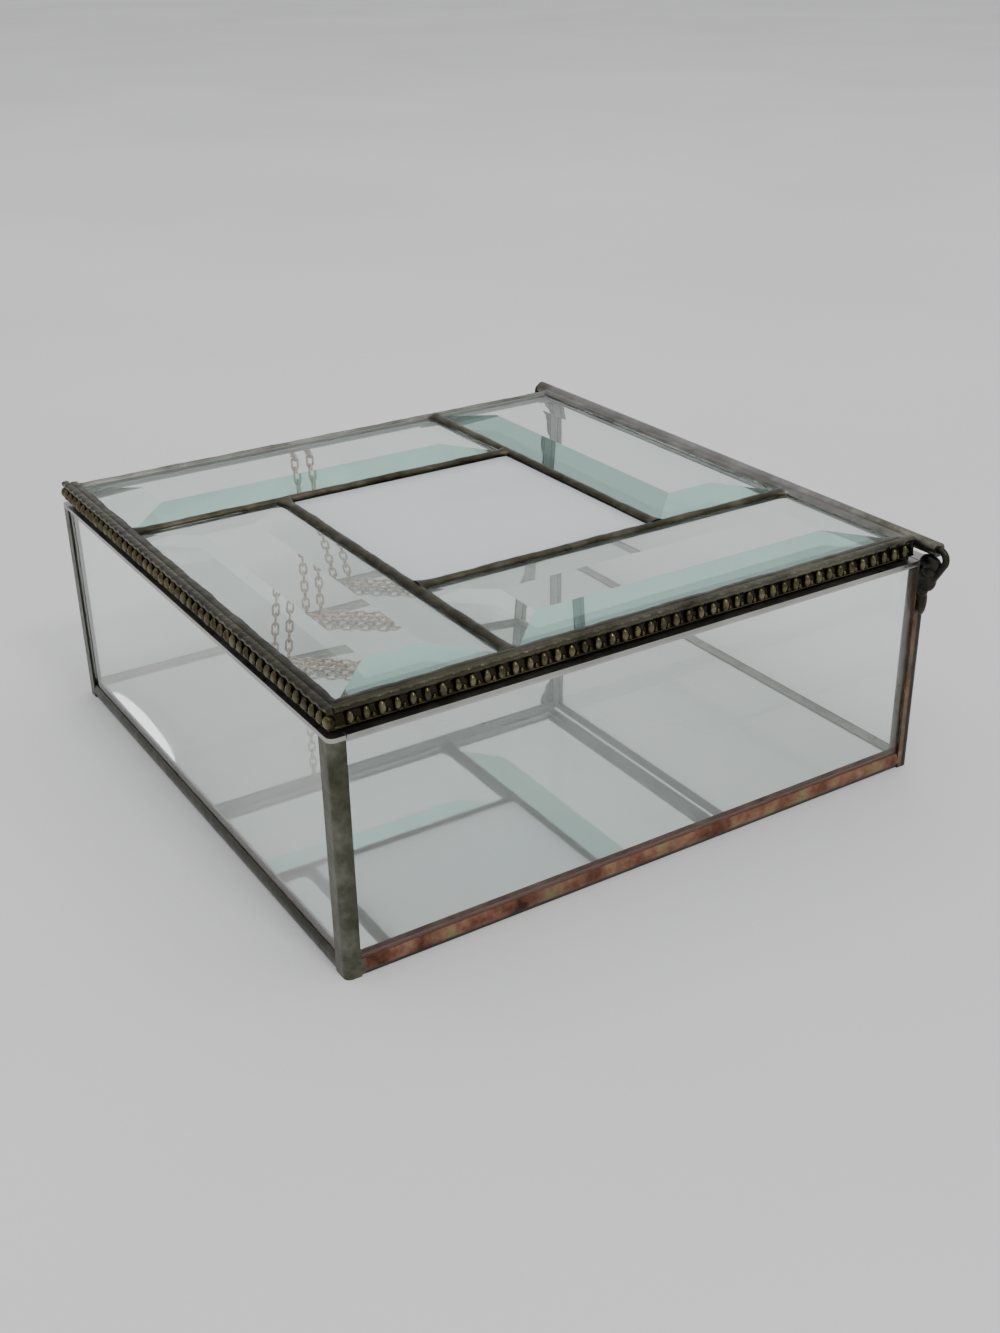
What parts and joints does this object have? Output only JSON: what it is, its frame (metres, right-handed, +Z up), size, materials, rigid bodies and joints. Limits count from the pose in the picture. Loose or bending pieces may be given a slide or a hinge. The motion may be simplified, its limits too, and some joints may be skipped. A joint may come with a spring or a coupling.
{
  "type": "glass casket box",
  "caption": "Square keepsake casket of clear glass panes in soldered copper foil, with a hinged bevelled lid round an opal centre, beaded edging, a chain stay and a mirror floor.",
  "frame": {"origin": "centre of the footprint on the table", "axes": "+Z up, +Y towards the hinge, +X to the right when the box is seen from the front"},
  "size_m": [0.1612, 0.1488, 0.0582],
  "materials": {
    "clear_glass": "clear, polished",
    "bevel_glass": "clear, bevelled and polished",
    "opal_glass": "translucent pale lavender, wispy",
    "mirror_glass": "silvered, polished",
    "backing_paint": "matte backing paint",
    "copper_foil": "bare copper foil, satin",
    "solder_grey": "grey-olive patina, satin",
    "solder_dark": "dark olive-brown patina, satin",
    "banding_brass": "antiqued, satin",
    "hinge_brass": "antiqued, satin",
    "chain_copper": "copper plated, polished"
  },
  "bodies": {
    "box": {"base_mirror": "mirror_glass", "mirror_backing": "backing_paint", "base_foil": "copper_foil", "front_pane": "clear_glass", "back_pane": "clear_glass", "left_pane": "clear_glass", "right_pane": "clear_glass", "front_foil": "copper_foil", "back_foil": "copper_foil", "left_foil": "copper_foil", "right_foil": "copper_foil", "post_front_left": "solder_grey", "post_front_right": "solder_grey", "post_back_left": "solder_grey", "post_back_right": "solder_grey", "seam_front": "solder_grey", "seam_back": "solder_grey", "seam_left": "solder_grey", "seam_right": "solder_grey", "rim_front": "solder_grey", "rim_back": "solder_grey", "rim_left": "solder_grey", "rim_right": "solder_grey", "hinge_rod": "hinge_brass", "rod_joint_left": "solder_grey", "rod_joint_right": "solder_grey", "wall_ring": "chain_copper"},
    "lid": {"bevel_front": "bevel_glass", "bevel_right": "bevel_glass", "bevel_back": "bevel_glass", "bevel_left": "bevel_glass", "opal_pane": "opal_glass", "bevel_foil_front": "copper_foil", "bevel_foil_right": "copper_foil", "bevel_foil_back": "copper_foil", "bevel_foil_left": "copper_foil", "opal_foil": "copper_foil", "arm_front": "solder_dark", "arm_right": "solder_dark", "arm_back": "solder_dark", "arm_left": "solder_dark", "edge_front": "solder_dark", "edge_right": "solder_dark", "edge_back": "solder_dark", "edge_left": "solder_dark", "banding_front": "banding_brass", "banding_right": "banding_brass", "hinge_tube": "hinge_brass", "lid_ring": "chain_copper"},
    "chain_wall_run": {"chain_wall": "chain_copper"},
    "chain_wall_end": {"chain_wall_fold": "chain_copper"},
    "chain_lid_run": {"chain_lid": "chain_copper"},
    "chain_lid_end": {"chain_lid_fold": "chain_copper"}
  },
  "joints": [
    {"name": "lid_hinge", "type": "hinge", "parent": "box", "child": "lid", "pos_m": [0, 0.07165, 0.05635], "axis": [-1, 0, 0], "range_deg": [0, 118.8]},
    {"name": "chain_wall_swing", "type": "hinge", "parent": "box", "child": "chain_wall_run", "pos_m": [-0.0676, -0.009, 0.05042], "axis": [1, 0, 0], "range_deg": [0, 125.5]},
    {"name": "chain_wall_bend", "type": "hinge", "parent": "chain_wall_run", "child": "chain_wall_end", "pos_m": [-0.0676, -0.009, 0.0047], "axis": [-0.788, 0.6157, 0], "range_deg": [0, 90]},
    {"name": "chain_lid_swing", "type": "hinge", "parent": "lid", "child": "chain_lid_run", "pos_m": [-0.0676, -0.0134, 0.05042], "axis": [1, 0, 0], "range_deg": [0, 64.4]},
    {"name": "chain_lid_bend", "type": "hinge", "parent": "chain_lid_run", "child": "chain_lid_end", "pos_m": [-0.0676, -0.0134, 0.0047], "axis": [-0.788, 0.6157, 0], "range_deg": [0, 90]}
  ],
  "couplings": [
    {"joint": "chain_wall_swing", "follows": "lid_hinge", "ratio": 1.0558},
    {"joint": "chain_wall_bend", "follows": "lid_hinge", "ratio": 0.7569},
    {"joint": "chain_lid_swing", "follows": "lid_hinge", "ratio": 0.5419},
    {"joint": "chain_lid_bend", "follows": "lid_hinge", "ratio": 0.7569}
  ]
}
